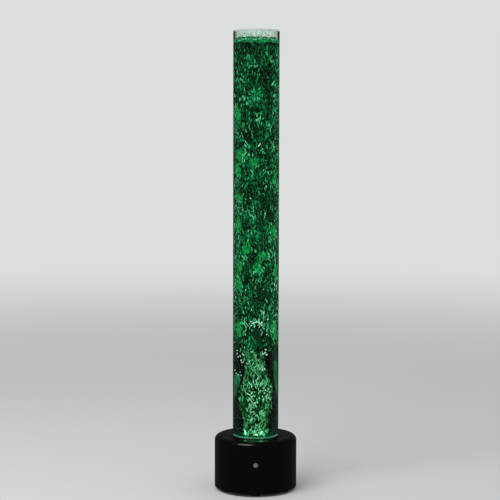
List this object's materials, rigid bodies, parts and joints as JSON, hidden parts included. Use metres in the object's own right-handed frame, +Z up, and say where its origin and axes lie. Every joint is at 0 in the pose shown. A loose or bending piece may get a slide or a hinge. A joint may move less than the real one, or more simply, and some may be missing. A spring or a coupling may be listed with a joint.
{
  "type": "bubble tube floor lamp",
  "caption": "Tall clear water tube on a round black base whose air jets send bubbles up through coloured light, with a push button, lid, drain valve and service panel.",
  "frame": {"origin": "floor level under the axis of the water tube", "axes": "+Z up along the tube, -Y towards the push button, +X to the right seen from the front"},
  "size_m": [0.3599, 0.363, 2],
  "materials": {
    "clear_acrylic": "polished clear acrylic",
    "lit_water": "clear water lit green from below",
    "lit_bubbles": "crowded air bubbles lit green from below",
    "black_casing": "gloss black moulding",
    "black_moulding": "fine-grained black moulding",
    "deck_board": "machined black sheet",
    "grey_button": "warm grey moulding",
    "red_grip": "red dipped plastic",
    "white_nylon": "natural white nylon",
    "black_rubber": "moulded rubber",
    "clear_hose": "clear flexible tubing",
    "wire_jacket": "smooth wire insulation",
    "white_board": "white solder mask on an aluminium board",
    "light_package": "clear gel over the light chips",
    "green_board": "green solder mask",
    "brass": "turned brass",
    "zinc_steel": "bright zinc plating",
    "painted_plate": "black powder coat",
    "alloy": "plain aluminium"
  },
  "bodies": {
    "base": {"outer_tube": "clear_acrylic", "tube_floor": "clear_acrylic", "water": "lit_water", "bubble_plume": "lit_bubbles", "air_jets": "white_nylon", "jet_seals": "black_rubber", "air_chamber": "white_nylon", "chamber_gasket": "black_rubber", "led_board": "white_board", "led_packages": "light_package", "led_standoffs": "brass", "board_screws": "zinc_steel", "tube_deck": "deck_board", "deck_posts": "alloy", "plate_screws": "zinc_steel", "tube_pad": "black_rubber", "base_plate": "painted_plate", "base_shell": "black_casing", "rubber_feet": "black_rubber", "collar_ring": "black_casing", "casing_screws": "zinc_steel", "tube_seal": "black_rubber", "button_bezel": "black_casing", "button_nut": "black_moulding", "button_switch": "black_moulding", "service_panel": "black_moulding", "power_inlet": "black_moulding", "power_blades": "brass", "rocker_frame": "black_moulding", "power_supply": "alloy", "supply_terminals": "black_moulding", "control_board": "green_board", "board_parts": "black_moulding", "board_standoffs": "brass", "pump_case": "alloy", "pump_cover": "black_moulding", "pump_head": "white_nylon", "pump_feet": "black_rubber", "pump_hose": "clear_hose", "check_valve": "white_nylon", "riser_hose": "clear_hose", "hose_clips": "zinc_steel", "drain_fitting": "white_nylon", "drain_gasket": "black_rubber", "drain_nut": "white_nylon", "drain_hose": "clear_hose", "valve_body": "white_nylon", "valve_cap": "white_nylon", "valve_seats": "white_nylon", "valve_gland": "black_moulding", "drain_elbow": "white_nylon", "mains_wires": "wire_jacket", "signal_wires": "wire_jacket"},
    "lid": {"tube_lid": "clear_acrylic"},
    "push_button": {"button_cap": "grey_button"},
    "rocker": {"power_rocker": "black_casing"},
    "drain_lever": {"valve_ball": "zinc_steel", "valve_stem": "zinc_steel", "valve_lever": "red_grip", "lever_nut": "zinc_steel"}
  },
  "joints": [
    {"name": "lid_lift", "type": "slide", "parent": "base", "child": "lid", "axis": [0, 0, 1], "range_m": [0, 0.06]},
    {"name": "button_press", "type": "slide", "parent": "base", "child": "push_button", "axis": [0, 1, 0], "range_m": [0, 0.0025], "stiffness_N_per_m": 1200},
    {"name": "rocker_tilt", "type": "hinge", "parent": "base", "child": "rocker", "pos_m": [0.068, 0.1474, 0.1], "axis": [1, 0, 0], "range_deg": [0, 18]},
    {"name": "drain_turn", "type": "hinge", "parent": "base", "child": "drain_lever", "pos_m": [0, 0.122, 0.084], "axis": [0, -1, 0], "range_deg": [0, 90]}
  ]
}
